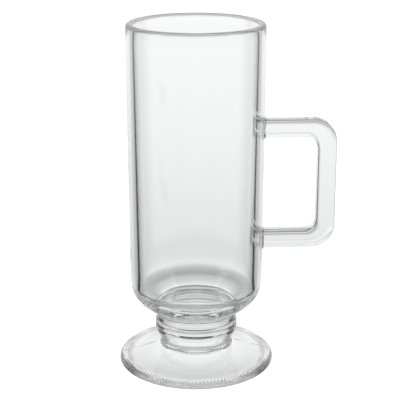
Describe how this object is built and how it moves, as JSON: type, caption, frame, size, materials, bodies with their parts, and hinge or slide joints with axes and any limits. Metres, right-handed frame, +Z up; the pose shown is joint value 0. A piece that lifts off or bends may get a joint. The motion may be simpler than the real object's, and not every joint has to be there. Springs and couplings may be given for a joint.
{
  "type": "irish coffee glass mug",
  "caption": "Clear pressed glass mug for hot drinks: tall straight round bowl with a squared loop handle, on a short ringed stem and a wide round foot.",
  "frame": {"origin": "on the axis of the bowl, at the level of the flat ring that the foot stands on", "axes": "+Z up along the axis of the bowl, +X out from the axis through the middle of the handle"},
  "size_m": [0.0966, 0.0698, 0.1544],
  "materials": {
    "clear_glass": "fire-polished clear"
  },
  "bodies": {
    "root": {"bowl": "clear_glass", "upper_ring": "clear_glass", "lower_ring": "clear_glass", "neck": "clear_glass", "foot": "clear_glass", "handle": "clear_glass"}
  },
  "joints": []
}
